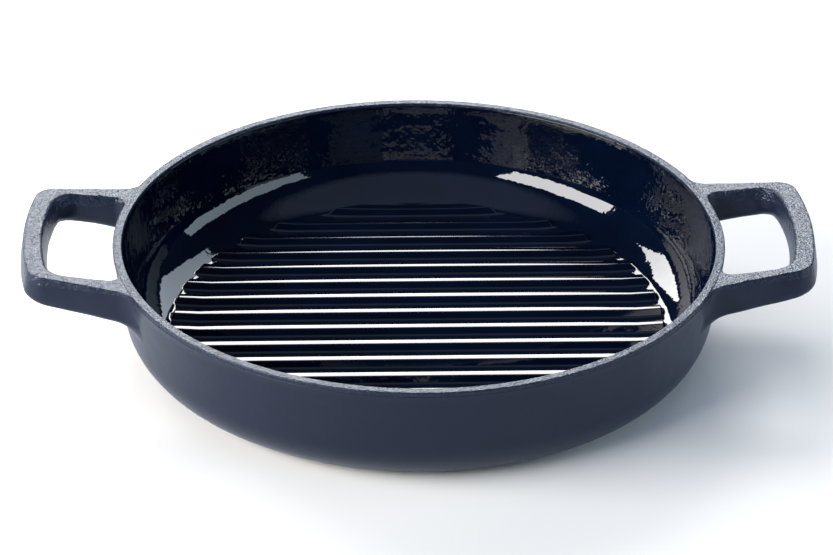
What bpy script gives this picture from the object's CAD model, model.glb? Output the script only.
from math import acos, asin, atan2, cos, hypot, pi, radians, sin, sqrt, tan

import bpy
from mathutils import Matrix, Vector, noise


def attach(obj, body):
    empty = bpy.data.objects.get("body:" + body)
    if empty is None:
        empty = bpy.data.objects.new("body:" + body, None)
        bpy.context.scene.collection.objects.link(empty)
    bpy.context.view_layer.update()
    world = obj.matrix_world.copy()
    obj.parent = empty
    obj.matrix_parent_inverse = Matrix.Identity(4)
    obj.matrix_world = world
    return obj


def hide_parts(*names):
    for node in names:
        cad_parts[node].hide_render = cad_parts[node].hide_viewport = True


bl_info = {
    "name": "Ribbed Grill Pan",
    "version": (1, 0, 0),
    "blender": (4, 5, 0),
    "location": "3D View > Sidebar > Grill Pan",
    "description": "Dresses the two-handled cast iron grill pan in its fired enamel",
    "category": "Object",
}

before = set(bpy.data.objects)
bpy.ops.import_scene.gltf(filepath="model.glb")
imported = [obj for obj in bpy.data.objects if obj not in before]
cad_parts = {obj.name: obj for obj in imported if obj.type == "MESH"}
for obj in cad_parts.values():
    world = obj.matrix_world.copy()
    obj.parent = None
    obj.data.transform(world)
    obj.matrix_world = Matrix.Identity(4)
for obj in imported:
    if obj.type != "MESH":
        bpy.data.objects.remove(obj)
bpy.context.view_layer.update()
MM = 0.001
ONE_PLACE = 0.002  # vertices this close together, in mm, become one


# Sizes and colours a user would change

def length(name, default, description):
    """A size in millimetres."""
    return bpy.props.FloatProperty(name=name, description=description + ", in mm", default=default, min=0.0)


def slope(name, default, description):
    """An angle, given in degrees."""
    return bpy.props.FloatProperty(
        name=name, description=description, default=radians(default), subtype="ANGLE")


def linear(code):
    """Linear colour of an sRGB hex code."""
    parts = [int(code[i:i + 2], 16) / 255 for i in (1, 3, 5)]
    return [p / 12.92 if p <= 0.04045 else ((p + 0.055) / 1.055) ** 2.4 for p in parts]


def colour(name, default, description):
    """A colour, given as its sRGB hex code."""
    return bpy.props.FloatVectorProperty(
        name=name, description=description, default=linear(default),
        subtype="COLOR", size=3, min=0.0, max=1.0)


class PanSizes(bpy.types.PropertyGroup):
    """Sizes of the bowl, measured over its coats."""
    height: length("Height", 54.5, "Height of the rim over the ground")
    rim_radius: length("Rim radius", 144.76, "Outside radius of the rim")
    rim_width: length("Rim width", 4.4, "Width of the rim's top")
    rim_outer_round: length("Outer round", 0.6, "Radius of the rim's outer edge")
    rim_inner_round: length("Inner round", 0.6, "Radius of the rim's inner edge")
    outer_draft: slope("Outer draft", 7.8, "Lean of the outside wall")
    inner_draft: slope("Inner draft", 8.5, "Lean of the inside wall")
    outer_corner: length("Outer corner", 25.0, "Radius between wall and underside")
    cove: length("Cove", 27.0, "Radius between cooking floor and inside wall")
    cove_end: slope("Cove end", 19.0, "Lean of the cove where it meets the inside wall in a crease")
    floor_height: length("Floor height", 6.4, "Height of the cooking floor")
    coat: length("Coat", 0.5, "Thickness of the fired enamel")
    band_outside: length("Band outside", 2.4, "Depth of the rough coat under the rim, outside")
    band_inside: length("Band inside", 1.3, "Depth of the rough coat under the rim, inside")


class RibSizes(bpy.types.PropertyGroup):
    """Sizes of the grill ribs, measured over their enamel."""
    count: bpy.props.IntProperty(name="Ribs", description="Number of grill ribs", default=16, min=1)
    pitch: length("Pitch", 15.0, "Distance between ribs")
    height: length("Height", 3.6, "Height over the floor")
    crest: length("Crest", 3.9, "Width of the crest")
    draft: slope("Side draft", 22.0, "Lean of a rib's sides")
    field: length("Field radius", 117.1, "Radius of the circle that trims the rib ends")
    end_draft: slope("End draft", 24.0, "Lean of a rib's ends")
    crest_round: length("Crest round", 0.6, "Radius of the enamel over a crest's edge")
    foot_round: length("Foot round", 1.2, "Radius of the enamel pooled at a rib's foot")


class HandleSizes(bpy.types.PropertyGroup):
    """Sizes of the loop handles, measured over their coats."""
    reach: length("Reach", 41.9, "Reach beyond the rim")
    bow: length("Bow", 4.8, "Bow of the outer bar")
    root_half: length("Root", 51.8, "Half the width at the rim")
    end_half: length("End", 42.5, "Half the width at the end")
    corner: length("Corner", 10.0, "Outer corner radius")
    bar: length("Bar", 8.9, "Width of the outer bar")
    hole_bow: length("Hole bow", 5.0, "Bow of the finger hole")
    hole_half: length("Hole", 40.0, "Half the width of the finger hole")
    hole_corner: length("Hole corner", 12.0, "Corner radius of the finger hole")
    below_rim: length("Below rim", 0.5, "Drop of the top face below the rim")
    rise: slope("Rise", 6.4, "Upward slope of the top face")
    end_thickness: length("End thickness", 13.0, "Thickness at the outer bar")
    underside: slope("Underside", 11.0, "Upward slope of the underside")
    side_draft: slope("Side draft", 12.0, "Outward lean of the sides")
    top_round: length("Top round", 0.9, "Radius of the upper edges")
    hole_round: length("Hole round", 2.2, "Radius of the upper edge of the finger hole")
    bottom_round: length("Bottom round", 3.5, "Radius of the lower edges")
    root_fillet: length("Root fillet", 7.0, "Radius where the handle joins the wall")
    root_edge: length("Root edge", 5.0, "Radius where the handle's outer top edges join the rim")
    band_root: length("Band at root", 1.8, "Depth of the rough coat at the pan")
    band_end: length("Band at end", 4.4, "Depth of the rough coat at the outer bar")
    band_hole: length("Band in hole", 5.6, "Depth of the rough coat on the faces of the finger hole")


class PanColours(bpy.types.PropertyGroup):
    """Colours of the coats and of the stage."""
    gloss: colour("Glossy enamel", "#030a1b", "Enamel of the cooking surface")
    satin: colour("Satin enamel", "#171d2f", "Enamel of the outside")
    rough: colour("Rough coat", "#1a2030", "Ground coat of the rim and the handle tops")
    iron: colour("Cast iron", "#2b2b2e", "Iron under the coats")
    ground: colour("Ground", "#cfd1d4", "Floor, as it lights the pan")
    paper: colour("Paper", "#fcf9f3", "Floor, as the camera sees it")


def pan():
    return bpy.context.scene.pan_sizes


def rib():
    return bpy.context.scene.rib_sizes


def handle():
    return bpy.context.scene.handle_sizes


def colours():
    return bpy.context.scene.pan_colours


# Mesh making

def select_only(piece=None):
    """Leaves edit mode and selects one piece, or nothing."""
    if bpy.context.object and bpy.context.object.mode != "OBJECT":
        bpy.ops.object.mode_set(mode="OBJECT")
    bpy.ops.object.select_all(action="DESELECT")
    if piece:
        bpy.context.view_layer.objects.active = piece
        piece.select_set(True)


def named(name):
    """Names the piece that a primitive operator just made."""
    piece = bpy.context.object
    piece.name = name
    piece.data.name = name
    return piece


def place_vertices(piece, points):
    """Moves the vertices of a primitive to points given in millimetres."""
    if len(piece.data.vertices) != len(points):
        raise ValueError(f"{piece.name} has {len(piece.data.vertices)} vertices for {len(points)} points")
    piece.data.vertices.foreach_set("co", [value * MM for point in points for value in point])
    piece.data.update()


def merge(piece, face_outward=True):
    """Joins the vertices that lie in one place and, on a closed piece, turns all faces outward."""
    select_only(piece)
    bpy.ops.object.mode_set(mode="EDIT")
    bpy.ops.mesh.select_all(action="SELECT")
    bpy.ops.mesh.remove_doubles(threshold=ONE_PLACE * MM)
    if face_outward:
        bpy.ops.mesh.normals_make_consistent(inside=False)
    bpy.ops.object.mode_set(mode="OBJECT")


def turned(name, outline, steps):
    """Solid of revolution of a closed outline of (radius, height) points."""
    select_only()
    bpy.ops.mesh.primitive_circle_add(vertices=len(outline), radius=MM)
    piece = named(name)
    place_vertices(piece, [(r, 0, z) for r, z in outline])
    bpy.ops.object.mode_set(mode="EDIT")
    bpy.ops.mesh.select_all(action="SELECT")
    bpy.ops.mesh.spin(steps=steps, angle=2 * pi, center=(0, 0, 0), axis=(0, 0, 1))
    bpy.ops.object.mode_set(mode="OBJECT")
    merge(piece)
    return piece


def sheet(name, rows):
    """Grid primitive draped over rows of points."""
    select_only()
    bpy.ops.mesh.primitive_grid_add(x_subdivisions=len(rows[0]) - 1, y_subdivisions=len(rows) - 1, size=MM)
    piece = named(name)
    place_vertices(piece, [point for row in rows for point in row])
    return piece


def face_along(piece, rate):
    """Flips the faces of a sheet when rate, summed over them, is negative."""
    if sum(rate(face) * face.area for face in piece.data.polygons) < 0:
        piece.data.flip_normals()


def thicken(piece):
    """Gives a sheet the thickness of the fired coat, on its inner side."""
    coat = piece.modifiers.new("Coat", "SOLIDIFY")
    coat.thickness = pan().coat * MM
    coat.offset = -1
    select_only(piece)
    bpy.ops.object.modifier_apply(modifier=coat.name)


def finish_piece(piece, material, slot, *nodes):
    """Shades a piece, gives it its coat, and puts it in the place of its CAD nodes."""
    select_only(piece)
    bpy.ops.object.shade_smooth_by_angle(angle=radians(42))
    piece.data.materials.clear()
    piece.data.materials.append(material)
    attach(piece, "root")
    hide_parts(*nodes)


def arc(centre, radius, start, end, count):
    """Points on an arc, both ends included."""
    turns = [start + (end - start) * i / (count - 1) for i in range(count)]
    return [(centre[0] + radius * cos(t), centre[1] + radius * sin(t)) for t in turns]


def between(start, end, count):
    """Points that divide a straight run, without its ends."""
    shares = [i / (count + 1) for i in range(1, count + 1)]
    return [tuple(a + (b - a) * s for a, b in zip(start, end)) for s in shares]


# Lumps of the sand casting, in layers of (height, width, share of the height that is turned inward), in mm.
RIM_LUMPS = (0.05, 2.6, 0.4), (0.03, 1.1, 0.4)
HANDLE_LUMPS = (0.16, 12, 0.4), (0.08, 5, 0.4)
ROUGH_LUMPS = ((0.06, 2.1, 0.3),)


def lumps(point, layers):
    """Height of the casting's lumps at a point."""
    return sum(height * (noise.noise(point / width) - inward) for height, width, inward in layers)


# Bowl

# Rounded lip where an enamel ends against the rough coat: depths below its end, and how far it stands proud.
LIP = (0.8, 0.0), (0.55, 0.07), (0.32, 0.13), (0.12, 0.12), (0.0, 0.03)


def outside_radius(height, inset=0.0):
    p = pan()
    return p.rim_radius - (p.height - height) * tan(p.outer_draft) - inset / cos(p.outer_draft)


def inside_radius(height, inset=0.0):
    p = pan()
    return p.rim_radius - p.rim_width - (p.height - height) * tan(p.inner_draft) + inset / cos(p.inner_draft)


def cove_centre():
    """Centre of the cove, which leaves the floor smoothly and meets the wall in a crease."""
    p = pan()
    crease = p.floor_height + p.cove * (1 - sin(p.cove_end))
    return inside_radius(crease) - p.cove * cos(p.cove_end), p.floor_height + p.cove


def cove_height(radius):
    """Height of the floor or cove at a radius."""
    centre = cove_centre()
    if radius <= centre[0]:
        return pan().floor_height
    return centre[1] - sqrt(pan().cove ** 2 - (radius - centre[0]) ** 2)


def outer_corner_centre():
    p = pan()
    return outside_radius(0) - p.outer_corner * tan(pi / 4 - p.outer_draft / 2), p.outer_corner


def outside_outline():
    """Closed outline of the enamel from the underside up to the rough band."""
    p = pan()
    centre = outer_corner_centre()
    top = p.height - p.band_outside
    outer = arc(centre, p.outer_corner, -pi / 2, -p.outer_draft, 28)
    lip = [(outside_radius(top - drop) + proud, top - drop) for drop, proud in LIP]
    outer += between(outer[-1], lip[0], 8) + lip
    inner = arc(centre, p.outer_corner - p.coat, -pi / 2, -p.outer_draft, 28)
    end = outside_radius(top, p.coat), top
    return outer + (inner + between(inner[-1], end, 8) + [end])[::-1]


def rim_outline():
    """Closed outline of the rough coat over the rim."""
    p = pan()
    low_out, low_in = p.height - p.band_outside, p.height - p.band_inside
    out_run = p.rim_outer_round * tan(pi / 4 + p.outer_draft / 2)
    in_run = p.rim_inner_round * tan(pi / 4 - p.inner_draft / 2)
    out_centre = p.rim_radius - out_run, p.height - p.rim_outer_round
    in_centre = p.rim_radius - p.rim_width + in_run, p.height - p.rim_inner_round
    outer = arc(out_centre, p.rim_outer_round, -p.outer_draft, pi / 2, 7)
    inner = arc(in_centre, p.rim_inner_round, pi / 2, pi - p.inner_draft, 7)
    points = [(outside_radius(low_out), low_out)] + between((outside_radius(low_out), low_out), outer[0], 1)
    points += outer + between(outer[-1], inner[0], 4) + inner
    points += [(inside_radius(low_in), low_in), (inside_radius(low_in, p.coat), low_in)]
    under = p.height - p.coat
    points += [(inner[0][0], under), (outer[-1][0], under), (outside_radius(low_out, p.coat), low_out)]
    return points


class OBJECT_OT_outside_wall(bpy.types.Operator):
    """Satin enamel over the outside wall and its rounded corner"""
    bl_idname = "object.grill_pan_outside_wall"
    bl_label = "Outside Wall"

    def execute(self, context):
        piece = turned("satin_outside_wall", outside_outline(), 360)
        finish_piece(piece, satin_enamel(), "satin_enamel", "outside_wall_enamel")
        return {"FINISHED"}


class OBJECT_OT_underside(bpy.types.Operator):
    """Satin enamel over the flat underside"""
    bl_idname = "object.grill_pan_underside"
    bl_label = "Underside"

    def execute(self, context):
        edge, coat = outer_corner_centre()[0], pan().coat
        radii = [edge * share for share in (0.2, 0.4, 0.6, 0.8, 1.0)]
        outline = [(0, coat)] + [(r, coat) for r in radii] + [(r, 0) for r in radii[::-1]] + [(0, 0)]
        piece = turned("satin_underside", outline, 180)
        finish_piece(piece, satin_enamel(), "satin_enamel", "underside_enamel")
        return {"FINISHED"}


class OBJECT_OT_rim(bpy.types.Operator):
    """Rough ground coat over the rim"""
    bl_idname = "object.grill_pan_rim"
    bl_label = "Rim"

    def execute(self, context):
        piece = turned("rough_rim", rim_outline(), 900)
        for vertex in piece.data.vertices:
            vertex.co += vertex.normal * lumps(vertex.co / MM, RIM_LUMPS) * MM
        finish_piece(piece, rough_coat(), "rough_ground_coat", "rim_ground_coat")
        return {"FINISHED"}


# Cooking surface

def side_marks(draft, arc_points):
    """Distances from a crest's sharp edge at which a rounded, leaning side needs points."""
    r = rib()
    turn = pi / 2 - draft
    foot = r.height * tan(draft)
    crest_run, foot_run = r.crest_round * tan(turn / 2), r.foot_round * tan(turn / 2)
    turns = [turn * i / arc_points for i in range(arc_points + 1)]
    crest = [-crest_run + r.crest_round * sin(t) for t in turns]
    return crest + [foot + foot_run - r.foot_round * sin(t) for t in turns[::-1]]


def side_height(x, draft):
    """Height of a rounded, leaning side at a distance from its crest's sharp edge."""
    r = rib()
    turn = pi / 2 - draft
    foot = r.height * tan(draft)
    crest_run, foot_run = r.crest_round * tan(turn / 2), r.foot_round * tan(turn / 2)
    if x <= -crest_run:
        return r.height
    if x >= foot + foot_run:
        return 0.0
    if x < r.crest_round * sin(turn) - crest_run:
        return r.height - r.crest_round + sqrt(r.crest_round ** 2 - (x + crest_run) ** 2)
    if x > foot + foot_run - r.foot_round * sin(turn):
        return r.foot_round - sqrt(r.foot_round ** 2 - (foot + foot_run - x) ** 2)
    return r.height - x / tan(draft)


def rib_centres():
    r = rib()
    return [(i - (r.count - 1) / 2) * r.pitch for i in range(r.count)]


def floor_point(x, y, radius):
    """Point of the cooking floor with its ribs, at a distance from the axis."""
    r = rib()
    nearest = min(abs(y - centre) for centre in rib_centres())
    over = side_height(nearest - r.crest / 2, r.draft) * side_height(radius - r.field, r.end_draft) / r.height
    return x, y, cove_height(radius) + over


def rows_across(edge):
    """Y of each row of the cooking surface, with the last ones close together at its poles."""
    r = rib()
    marks = side_marks(r.draft, 3)
    rows = set()
    for centre in rib_centres():
        rows.update(centre + side * (r.crest / 2 + mark) for mark in marks for side in (-1, 1))
        rows.update((centre, centre + r.pitch / 2, centre - r.pitch / 2))
    last = rib_centres()[-1] + r.crest / 2 + marks[-1]
    rows = {round(y, 4) for y in rows if abs(y) <= last + 1e-6}
    start = asin(last / edge)
    poles = [edge * sin(start + (pi / 2 - start) * i / 12) for i in range(1, 13)]
    return sorted(rows | set(poles) | {-y for y in poles})


def wall_profile(edge):
    """Radius and height from the grill field up the cove and the wall."""
    p = pan()
    centre = cove_centre()
    start = asin((edge - centre[0]) / p.cove) - pi / 2
    profile = arc(centre, p.cove, start, -p.cove_end, 26)
    crease, before = profile[-1], profile[-2]
    top = p.height - p.band_inside
    profile[-1:] = between(before, crease, 3) + [crease]
    wall = crease[1] + 0.35
    profile += [(inside_radius(wall), wall), (inside_radius(wall + 0.6), wall + 0.6)]
    lip = [(inside_radius(top - drop) - proud, top - drop) for drop, proud in LIP]
    return profile + between(profile[-1], lip[0], 6) + lip


def cooking_rows():
    """Rows along X over the whole cooking surface, each from wall to wall."""
    r = rib()
    rings = [r.field + mark for mark in side_marks(r.end_draft, 3)]
    edge = rings[-1] + 0.4
    profile = wall_profile(edge)
    rows = []
    for y in rows_across(edge):
        turn = asin(max(-1.0, min(1.0, y / edge)))
        half = [(radius * cos(turn), radius * sin(turn), z) for radius, z in profile[:0:-1]]
        for radius in [edge] + rings[::-1]:
            reach = max(radius, abs(y))
            half.append(floor_point(sqrt(reach ** 2 - y ** 2), y, reach))
        ends = half[-1][0]
        middle = [ends * (1 - i / 10) for i in range(1, 20)]
        core = [floor_point(x, y, hypot(x, y)) for x in middle]
        rows.append(half + core + [(-x, y, z) for x, y, z in half[::-1]])
    return rows


class OBJECT_OT_cooking_surface(bpy.types.Operator):
    """Glossy enamel over the ribs, the floor, the cove and the inside wall"""
    bl_idname = "object.grill_pan_cooking_surface"
    bl_label = "Cooking Surface"

    def execute(self, context):
        piece = sheet("glossy_cooking_surface", cooking_rows())
        face_along(piece, lambda face: face.normal.z)
        merge(piece, face_outward=False)
        thicken(piece)
        merge(piece)
        finish_piece(piece, gloss_enamel(), "gloss_enamel", "cooking_surface_enamel")
        return {"FINISHED"}


# Loop handles, worked out on the +X side

def root_x():
    return sqrt(pan().rim_radius ** 2 - handle().root_half ** 2)


def loop_length():
    return pan().rim_radius + handle().reach - root_x()


def lifted(point, low):
    """Point of the plan, laid on the handle's top plane or underside plane."""
    h = handle()
    angle = h.underside if low else h.rise
    depth = h.end_thickness + loop_length() * (tan(h.underside) - tan(h.rise)) if low else 0.0
    height = pan().height - h.below_rim - depth
    return Vector((root_x() + point[0] * cos(angle), point[1], height + point[0] * sin(angle)))


def edge_path(outer, low):
    """Line, corner arc and bowed end of one edge of the bar, on its +Y half, in the plan."""
    h = handle()
    grow = h.end_thickness * tan(h.side_draft) if low else 0.0
    if outer:
        half, bow, corner = h.end_half + grow, h.bow, h.corner + grow
        start, far = Vector((0.0, h.root_half + grow)), Vector((loop_length() + grow, half))
    else:
        half, bow, corner = h.hole_half - grow, h.hole_bow, h.hole_corner - grow
        start, far = Vector((0.0, half)), Vector((loop_length() - h.bar - grow, half))
    bow_radius = (half ** 2 + bow ** 2) / (2 * bow)
    bow_centre = Vector((far.x - bow_radius, 0))
    along = (far - start).normalized()
    inward = Vector((along.y, -along.x))
    line_start = start + inward * corner - bow_centre
    half_b = line_start.dot(along)
    reach = -half_b + sqrt(half_b ** 2 - line_start.length_squared + (bow_radius - corner) ** 2)
    centre = bow_centre + line_start + along * reach
    out = (centre - bow_centre).normalized()
    return {
        "start": start, "along": along, "turn": centre - inward * corner, "centre": centre, "radius": corner,
        "turn_angles": (atan2(-inward.y, -inward.x), atan2(out.y, out.x)),
        "bow_centre": bow_centre, "bow_radius": bow_radius,
    }


def on_path(path, part, share):
    """Plan point at a share of the corner or of the bowed end."""
    first, last = path["turn_angles"]
    if part == "corner":
        angle = first + (last - first) * share
        return path["centre"] + path["radius"] * Vector((cos(angle), sin(angle)))
    angle = last * (1 - share)
    return path["bow_centre"] + path["bow_radius"] * Vector((cos(angle), sin(angle)))


def wall_distance(point):
    """Distance of a point outside the bowl's wall."""
    return (hypot(point.x, point.y) - outside_radius(point.z)) * cos(pan().outer_draft)


def at_distance(point, distance):
    """The point, moved towards or from the axis to a distance from the wall."""
    radius = outside_radius(point.z) + distance / cos(pan().outer_draft)
    scale = radius / hypot(point.x, point.y)
    return Vector((point.x * scale, point.y * scale, point.z))


def where_path_leaves(path, low, distance):
    """Length along an arm, from its start, at which it is at a distance from the wall."""
    near, far = -20.0, 40.0
    for _ in range(40):
        middle = (near + far) / 2
        if wall_distance(lifted(path["start"] + path["along"] * middle, low)) < distance:
            near = middle
        else:
            far = middle
    return near


def fillet_flare(radius, distance):
    """How far a fillet of a radius stands off the bar, at a distance from the wall."""
    left = max(0.0, radius - max(0.0, distance))
    return radius - sqrt(radius ** 2 - left ** 2)


def root_station(paths, edges, distance):
    """Corner points of the bar at a distance from the wall, spread by the fillet there."""
    points = []
    for (outer, low), path in zip(edges, paths):
        run = where_path_leaves(path, low, distance)
        point = lifted(path["start"] + path["along"] * run, low)
        angle = atan2(point.y, point.x)
        flare = fillet_flare(handle().root_edge if outer and not low else handle().root_fillet, distance)
        point += (1 if outer else -1) * flare * Vector((-sin(angle), cos(angle), 0))
        if low:
            point.z -= fillet_flare(handle().root_fillet, distance)
        points.append(at_distance(point, distance))
    return points, fillet_flare(handle().root_fillet, distance), distance


def bar_stations():
    """Stations of the +Y half: four corner points, flare, and distance from the wall at the root."""
    radius = handle().root_fillet
    edges = [(True, False), (True, True), (False, True), (False, False)]
    paths = [edge_path(outer, low) for outer, low in edges]
    distances = [-1.6, -0.8] + [radius * (1 - cos(pi / 2 * i / 11)) for i in range(12)]
    stations = [root_station(paths, edges, distance) for distance in distances]
    starts = [where_path_leaves(path, low, radius) for path, (_, low) in zip(paths, edges)]
    for i in range(1, 31):
        points = []
        for path, (_, low), start in zip(paths, edges, starts):
            run = start + ((path["turn"] - path["start"]).length - start) * i / 30
            points.append(lifted(path["start"] + path["along"] * run, low))
        stations.append((points, 0.0, None))
    for part, count in (("corner", 20), ("end", 42)):
        for i in range(1, count + 1):
            points = [lifted(on_path(path, part, i / count), low) for path, (_, low) in zip(paths, edges)]
            stations.append((points, 0.0, None))
    return stations


def rounded_corner(before, corner, after, radius, count):
    """Points of a fillet at a corner in space."""
    a, b = (before - corner).normalized(), (after - corner).normalized()
    half = acos(max(-1.0, min(1.0, a.dot(b)))) / 2
    run = min(radius / tan(half), 0.48 * min((before - corner).length, (after - corner).length))
    radius = run * tan(half)
    centre = corner + (a + b).normalized() * radius / sin(half)
    first, last = corner + a * run - centre, corner + b * run - centre
    sweep = pi - 2 * half
    turns = [sweep * i / (count - 1) for i in range(count)]
    return [centre + (first * sin(sweep - t) + last * sin(t)) / sin(sweep) for t in turns]


def straight(start, end, count):
    """Points that divide a straight run in space, without its ends."""
    return [start.lerp(end, i / (count + 1)) for i in range(1, count + 1)]


def section(corners, flare, distance):
    """Closed ring of points round the bar, rough coat first, and the number of points on that coat."""
    h = handle()
    top_out, low_out, low_in, top_in = corners
    share = max(0.0, min(1.0, (top_out.x - root_x()) / loop_length()))
    outer_band = h.band_root + (h.band_end - h.band_root) * share
    hole_band = h.band_root + (h.band_hole - h.band_root) * min(1.0, 2 * share)
    outer_arc = rounded_corner(low_out, top_out, top_in, h.top_round, 5)
    inner_arc = rounded_corner(top_out, top_in, low_in, h.hole_round, 7)
    low_inner_arc = rounded_corner(top_in, low_in, low_out, h.bottom_round + 0.3 * flare, 8)
    low_outer_arc = rounded_corner(low_in, low_out, top_out, h.bottom_round + 0.3 * flare, 8)
    outer_edge = top_out + (low_out - top_out).normalized() * (outer_band + 0.2)
    hole_edge = top_in + (low_in - top_in).normalized() * (hole_band + 0.2)
    ring = [outer_edge] + straight(outer_edge, outer_arc[0], 2) + outer_arc
    ring += straight(outer_arc[-1], inner_arc[0], 9) + inner_arc
    ring += straight(inner_arc[-1], hole_edge, 3) + [hole_edge]
    rough = len(ring)
    ring += straight(hole_edge, low_inner_arc[0], 5) + low_inner_arc
    ring += straight(low_inner_arc[-1], low_outer_arc[0], 5) + low_outer_arc
    ring += straight(low_outer_arc[-1], outer_edge, 6)
    if distance is not None:
        ring = [at_distance(point, distance) for point in ring]
    return ring, rough


def handle_rings(side):
    """Every section of one handle, lumpy as cast; side is 1 for +X and -1 for -X."""
    half = bar_stations()
    mirrored = [([Vector((p.x, -p.y, p.z)) for p in points], flare, d) for points, flare, d in half[-2::-1]]
    rings, fades = [], []
    for points, flare, distance in half + mirrored:
        ring, rough = section(points, flare, distance)
        rings.append([Vector((side * p.x, p.y, p.z)) for p in ring])
        fades.append(1.0 if distance is None else max(0.0, distance) / handle().root_fillet)
    centres = [sum(ring, Vector()) / len(ring) for ring in rings]
    count = len(rings[0])
    lumpy = []
    for j, ring in enumerate(rings):
        before, after = rings[max(0, j - 1)], rings[min(len(rings) - 1, j + 1)]
        row = []
        for k, point in enumerate(ring):
            normal = (after[k] - before[k]).cross(ring[(k + 1) % count] - ring[k - 1]).normalized()
            if normal.dot(point - centres[j]) < 0:
                normal.negate()
            height = lumps(point, HANDLE_LUMPS + ROUGH_LUMPS if k < rough else HANDLE_LUMPS)
            row.append(point + normal * height * fades[j])
        lumpy.append(row)
    return lumpy, centres, rough


def handle_piece(name, rows, centres):
    """One coat of a handle, from a sheet round its bar."""
    piece = sheet(name, rows)
    across = len(rows[0]) - 1
    face_along(piece, lambda face: face.normal.dot(face.center - centres[face.index // across] * MM))
    thicken(piece)
    merge(piece)
    return piece


def build_handle(word, side):
    """Rough and smooth coat of one handle."""
    rings, centres, rough = handle_rings(side)
    piece = handle_piece(f"rough_{word}_handle", [ring[:rough] for ring in rings], centres)
    finish_piece(piece, rough_coat(), "rough_ground_coat", f"{word}_handle_ground_coat")
    piece = handle_piece(f"satin_{word}_handle", [ring[rough - 1:] + ring[:1] for ring in rings], centres)
    finish_piece(piece, satin_enamel(), "satin_enamel", f"{word}_handle_enamel")


class OBJECT_OT_handles(bpy.types.Operator):
    """Rough and satin coats over both loop handles"""
    bl_idname = "object.grill_pan_handles"
    bl_label = "Handles"

    def execute(self, context):
        build_handle("right", 1)
        build_handle("left", -1)
        return {"FINISHED"}


# Materials

def feed(tree, node, inputs):
    """Gives inputs of a node, found by name or number, a value or another node's output."""
    for key, value in inputs.items():
        if isinstance(value, bpy.types.NodeSocket):
            tree.links.new(value, node.inputs[key])
        else:
            node.inputs[key].default_value = value


def add_node(tree, kind, inputs, stops=(), **settings):
    """Adds a node; settings are its properties, stops the places and colours of its ramp."""
    node = tree.nodes.new(kind)
    for key, value in settings.items():
        setattr(node, key, value)
    for i, (place, rgb) in enumerate(stops):
        node.color_ramp.elements[i].position = place
        node.color_ramp.elements[i].color = (*rgb, 1)
    feed(tree, node, inputs)
    return node


def new_material(name):
    """A material with its shader, or the finished one of that name with no tree."""
    found = bpy.data.materials.get(name)
    if found:
        return found, None, None
    material = bpy.data.materials.new(name)
    material.use_nodes = True
    tree = material.node_tree
    tree.nodes.clear()
    shader = add_node(tree, "ShaderNodeBsdfPrincipled", {})
    add_node(tree, "ShaderNodeOutputMaterial", {0: shader.outputs[0]})
    return material, tree, shader


def millimetres(tree):
    """Object coordinates in millimetres."""
    place = add_node(tree, "ShaderNodeTexCoord", {}).outputs["Object"]
    return add_node(
        tree, "ShaderNodeVectorMath", {0: place, "Scale": 1 / MM}, operation="SCALE").outputs[0]


def drift(tree, wave, detail=2.0, roughness=0.5):
    """A value from 0 to 1 that wanders, with about wave millimetres from lump to lump."""
    node = add_node(tree, "ShaderNodeTexNoise", {
        "Vector": millimetres(tree), "Scale": 1.0 / wave, "Detail": detail, "Roughness": roughness})
    return node.outputs["Fac"]


def mottled(tree, base, shades, ends, wave, detail=2.0, roughness=0.5):
    """A colour that wanders between two shades of base, reached at the ends of the drift."""
    stops = [(end, [min(1.0, part * shade) for part in base]) for end, shade in zip(ends, shades)]
    value = drift(tree, wave, detail, roughness)
    return add_node(tree, "ShaderNodeValToRGB", {0: value}, stops).outputs["Color"]


def uneven(tree, low, high, wave):
    """A roughness that wanders between two values."""
    inputs = {"Value": drift(tree, wave), "To Min": low, "To Max": high}
    return add_node(tree, "ShaderNodeMapRange", inputs).outputs[0]


def outward(tree, start, end, least, how="LINEAR"):
    """A share that grows from least to 1 between two distances from the pan's axis, in millimetres."""
    flat = add_node(
        tree, "ShaderNodeVectorMath", {0: millimetres(tree), 1: (1, 1, 0)}, operation="MULTIPLY")
    radius = add_node(tree, "ShaderNodeVectorMath", {0: flat.outputs[0]}, operation="LENGTH")
    inputs = {"Value": radius.outputs["Value"], "From Min": start, "From Max": end, "To Min": least}
    return add_node(tree, "ShaderNodeMapRange", inputs, interpolation_type=how).outputs[0]


def relief(tree, *layers):
    """Normal of layers of lumps, each a height from 0 to 1 and what 1 stands for in millimetres."""
    below = {}
    for height, depth in layers:
        inputs = {"Strength": 1.0, "Distance": depth * MM, "Height": height, **below}
        below = {"Normal": add_node(tree, "ShaderNodeBump", inputs).outputs["Normal"]}
    return below["Normal"]


def gloss_enamel():
    """Blue-black glass: mirror-like, with the slow waves of a thick coat that flowed in the kiln."""
    material, tree, shader = new_material("gloss_black_enamel")
    if not tree:
        return material
    # Waves: faint on the floor and its ribs, full in the cove from 8 mm beyond the ribs.
    cove = outward(tree, rib().field, rib().field + 8.0, 0.12)
    # Runs: only on the steep wall, above the crease.
    steep = outward(tree, rib().field + 17.5, rib().field + 19.5, 0.0)
    waves = (cove, 0.14, 14.0, 1.0), (cove, 0.045, 3.5, 1.0), (steep, 0.22, 6.0, 2.0)
    layers = []
    for share, depth, wave, detail in waves:
        height = add_node(
            tree, "ShaderNodeMath", {0: drift(tree, wave, detail), 1: share}, operation="MULTIPLY")
        layers.append((height.outputs[0], depth))
    feed(tree, shader, {
        "Base Color": mottled(tree, colours().gloss, (0.7, 1.4), (0.3, 0.7), 30.0),
        "Roughness": 0.035,
        "IOR": 1.52,
        "Normal": relief(tree, *layers),
    })
    return material


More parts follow.
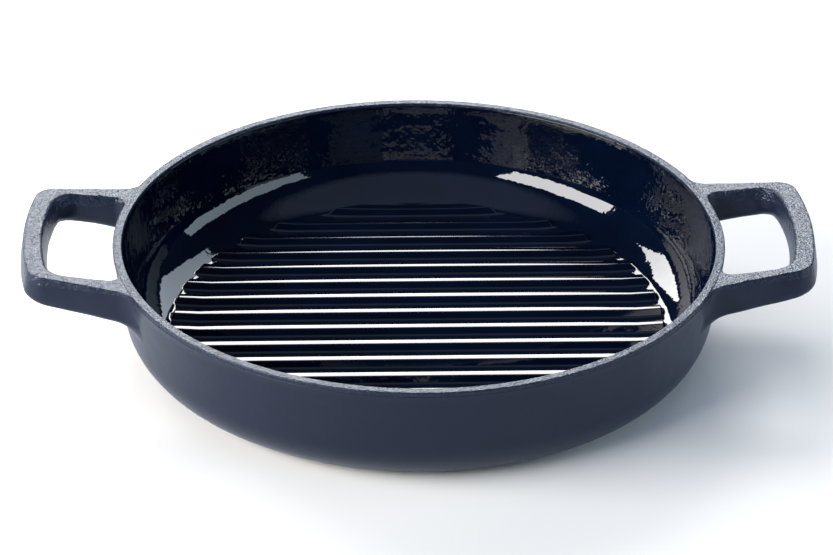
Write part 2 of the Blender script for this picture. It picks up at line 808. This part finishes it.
def satin_enamel():
    """Navy enamel matted in the kiln: even colour, soft sheen, very fine orange peel."""
    material, tree, shader = new_material("satin_navy_enamel")
    if not tree:
        return material
    feed(tree, shader, {
        "Base Color": mottled(tree, colours().satin, (0.92, 1.1), (0.3, 0.7), 40.0, 3.0),
        "Roughness": uneven(tree, 0.27, 0.34, 18.0),
        "IOR": 1.46,
        "Specular Tint": (0.80, 0.88, 1.0, 1),
        "Sheen Weight": 0.12,
        "Sheen Roughness": 0.4,
        "Sheen Tint": (0.75, 0.85, 1.0, 1),
        "Normal": relief(tree, (drift(tree, 9.0, 1.0), 0.12), (drift(tree, 1.4), 0.035)),
    })
    return material


def rough_coat():
    """Thin ground coat over bare sand casting: leathery grain, slightly shiny on its grains."""
    material, tree, shader = new_material("rough_navy_ground_coat")
    if not tree:
        return material
    cells = add_node(tree, "ShaderNodeTexVoronoi", {"Vector": millimetres(tree), "Scale": 1.0 / 1.1})
    grain = drift(tree, 2.0, 3.0, 0.6)
    feed(tree, shader, {
        "Base Color": mottled(tree, colours().rough, (0.7, 1.7), (0.35, 0.7), 2.0, 3.0, 0.6),
        "Roughness": uneven(tree, 0.24, 0.34, 5.5),
        "IOR": 1.5,
        "Specular Tint": (0.74, 0.85, 1.0, 1),
        "Normal": relief(tree, (drift(tree, 5.5), 0.20), (cells.outputs["Distance"], 0.16), (grain, 0.60)),
    })
    return material


def cast_iron():
    """Grey iron as cast, seen only where a coat would be missing."""
    material, tree, shader = new_material("grey_cast_iron")
    if not tree:
        return material
    feed(tree, shader, {
        "Base Color": mottled(tree, colours().iron, (0.7, 1.3), (0.3, 0.7), 0.8, 4.0, 0.6),
        "Metallic": 0.7,
        "Roughness": 0.6,
        "Normal": relief(tree, (drift(tree, 0.8, 4.0, 0.6), 0.12)),
    })
    return material


def ground_paper():
    """Pale matt paper: greyer where it lights the pan, and plain white far from it."""
    material, tree, shader = new_material("ground_paper")
    if not tree:
        return material
    path = add_node(tree, "ShaderNodeLightPath", {}).outputs
    seen = add_node(tree, "ShaderNodeMath", {
        0: path["Is Camera Ray"], 1: path["Is Transmission Ray"]}, operation="MAXIMUM").outputs[0]
    bounce = mottled(tree, colours().ground, (0.995, 1.0), (0.3, 0.7), 60.0)
    tone = add_node(
        tree, "ShaderNodeMix", {0: seen, 6: bounce, 7: (*colours().paper, 1)}, data_type="RGBA")
    feed(tree, shader, {"Base Color": tone.outputs[2], "Roughness": 0.9, "Specular IOR Level": 0.2})
    far = outward(tree, 450.0, 1000.0, 0.0, "SMOOTHSTEP")
    share = add_node(tree, "ShaderNodeMath", {0: far, 1: seen}, operation="MULTIPLY")
    white = add_node(tree, "ShaderNodeEmission", {"Color": (1, 1, 1, 1), "Strength": 1.0})
    blend = add_node(tree, "ShaderNodeMixShader", {
        0: share.outputs[0], 1: shader.outputs[0], 2: white.outputs[0]})
    output = next(node for node in tree.nodes if node.type == "OUTPUT_MATERIAL")
    feed(tree, output, {0: blend.outputs[0]})
    return material


class OBJECT_OT_iron(bpy.types.Operator):
    """Cast iron on the solids under the coats"""
    bl_idname = "object.grill_pan_iron"
    bl_label = "Cast Iron"

    def execute(self, context):
        for name in ("cast_iron_bowl", "cast_iron_ribs", "right_handle_casting", "left_handle_casting"):
            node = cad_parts[name]
            node.data.materials.clear()
            node.data.materials.append(cast_iron())
        return {"FINISHED"}


# Stage

def add_camera():
    """Camera of the photograph."""
    data = bpy.data.cameras.new("photo_camera")
    data.sensor_width = 36.0
    data.lens = 162.907
    data.clip_end = 50.0
    camera = bpy.data.objects.new("photo_camera", data)
    right = Vector((0.99964427, -0.02639548, 0.00382272))
    up = Vector((0.0095286, 0.48732191, 0.87317041))
    back = -Vector((0.02491064, 0.87282337, -0.48740007))
    place = Vector((-45.688, -1566.475, 906.746)) * MM
    camera.matrix_world = Matrix.Translation(place) @ Matrix((right, up, back)).transposed().to_4x4()
    bpy.context.collection.objects.link(camera)
    bpy.context.scene.camera = camera


def direction(azimuth, elevation):
    """Unit vector; azimuth 0 looks along +Y and grows towards +X."""
    a, e = radians(azimuth), radians(elevation)
    return Vector((sin(a) * cos(e), cos(a) * cos(e), sin(e)))


def softbox(name, azimuths, elevations, radiance, tint=(1, 1, 1), distance=1.6):
    """Soft light that fills a range of directions, as seen from the pan."""
    way = direction(sum(azimuths) / 2, sum(elevations) / 2)
    data = bpy.data.lights.new(name, "AREA")
    data.shape = "RECTANGLE"
    data.size = 2 * distance * tan(radians(azimuths[1] - azimuths[0]) / 2) * cos(radians(sum(elevations) / 2))
    data.size_y = 2 * distance * tan(radians(elevations[1] - elevations[0]) / 2)
    data.energy = radiance * pi * data.size * data.size_y
    data.color = tint
    light = bpy.data.objects.new(name, data)
    light.location = Vector((0, 0, 0.03)) + way * distance
    light.rotation_euler = way.to_track_quat("Z", "Y").to_euler()
    bpy.context.collection.objects.link(light)


def add_ground():
    """Pale floor that runs out of view on all sides."""
    select_only()
    bpy.ops.mesh.primitive_plane_add(size=14.0)
    ground = named("ground")
    ground.data.materials.append(ground_paper())


def set_world():
    """Dim bluish room round the softboxes, white where the camera looks past the floor."""
    world = bpy.data.worlds.new("studio")
    bpy.context.scene.world = world
    world.use_nodes = True
    tree = world.node_tree
    tree.nodes.clear()
    path = add_node(tree, "ShaderNodeLightPath", {}).outputs
    way = add_node(tree, "ShaderNodeTexCoord", {}).outputs["Generated"]
    # The room's brightest part is high up on the side of the camera.
    over = add_node(
        tree, "ShaderNodeVectorMath", {0: way, 1: direction(180, 75)}, operation="DOT_PRODUCT")
    stops = (0.74, (0.02, 0.03, 0.06)), (0.84, (0.26, 0.32, 0.46))
    level = add_node(tree, "ShaderNodeValToRGB", {0: over.outputs["Value"]}, stops)
    room = add_node(tree, "ShaderNodeBackground", {"Color": level.outputs["Color"], "Strength": 1.0})
    white = add_node(tree, "ShaderNodeBackground", {"Color": (1, 1, 1, 1), "Strength": 1.0})
    mix = add_node(tree, "ShaderNodeMixShader", {
        0: path["Is Camera Ray"], 1: room.outputs[0], 2: white.outputs[0]})
    add_node(tree, "ShaderNodeOutputWorld", {0: mix.outputs[0]})


class SCENE_OT_grill_pan_stage(bpy.types.Operator):
    """Camera of the photograph, pale floor, soft lights and a dim room"""
    bl_idname = "scene.grill_pan_stage"
    bl_label = "Stage"

    def execute(self, context):
        context.scene.view_settings.view_transform = "Standard"
        add_camera()
        add_ground()
        set_world()
        softbox("left_softbox", (-141, -89), (14, 38), 14.0)
        softbox("back_left_softbox", (-54, -25), (19, 36), 12.0)
        softbox("back_softbox", (-16, 14), (20, 44), 13.0)
        softbox("back_right_softbox", (17, 42), (20, 44), 3.4, (0.75, 0.87, 1.0))
        softbox("right_fill", (70, 133), (5, 27), 3.2, (0.7, 0.86, 1.0))
        return {"FINISHED"}


# Panel and registration

class VIEW3D_PT_grill_pan(bpy.types.Panel):
    """Lists the pieces of the grill pan and their sizes"""
    bl_label = "Grill Pan"
    bl_idname = "VIEW3D_PT_grill_pan"
    bl_space_type = "VIEW_3D"
    bl_region_type = "UI"
    bl_category = "Grill Pan"

    def draw(self, context):
        for operator in OPERATORS:
            self.layout.operator(operator.bl_idname)
        for name, group in GROUPS.items():
            box = self.layout.box()
            for key in group.__annotations__:
                box.prop(getattr(context.scene, name), key)


GROUPS = {
    "pan_sizes": PanSizes, "rib_sizes": RibSizes, "handle_sizes": HandleSizes, "pan_colours": PanColours,
}
OPERATORS = (
    SCENE_OT_grill_pan_stage, OBJECT_OT_iron, OBJECT_OT_outside_wall, OBJECT_OT_underside,
    OBJECT_OT_cooking_surface, OBJECT_OT_rim, OBJECT_OT_handles,
)


def register():
    for cls in (*GROUPS.values(), *OPERATORS, VIEW3D_PT_grill_pan):
        bpy.utils.register_class(cls)
    for name, group in GROUPS.items():
        setattr(bpy.types.Scene, name, bpy.props.PointerProperty(type=group))


def unregister():
    for name in GROUPS:
        delattr(bpy.types.Scene, name)
    for cls in (VIEW3D_PT_grill_pan, *reversed(OPERATORS), *GROUPS.values()):
        bpy.utils.unregister_class(cls)


def main():
    register()
    for operator in OPERATORS:
        group, name = operator.bl_idname.split(".")
        getattr(getattr(bpy.ops, group), name)()
    select_only()


if __name__ == "__main__":
    main()
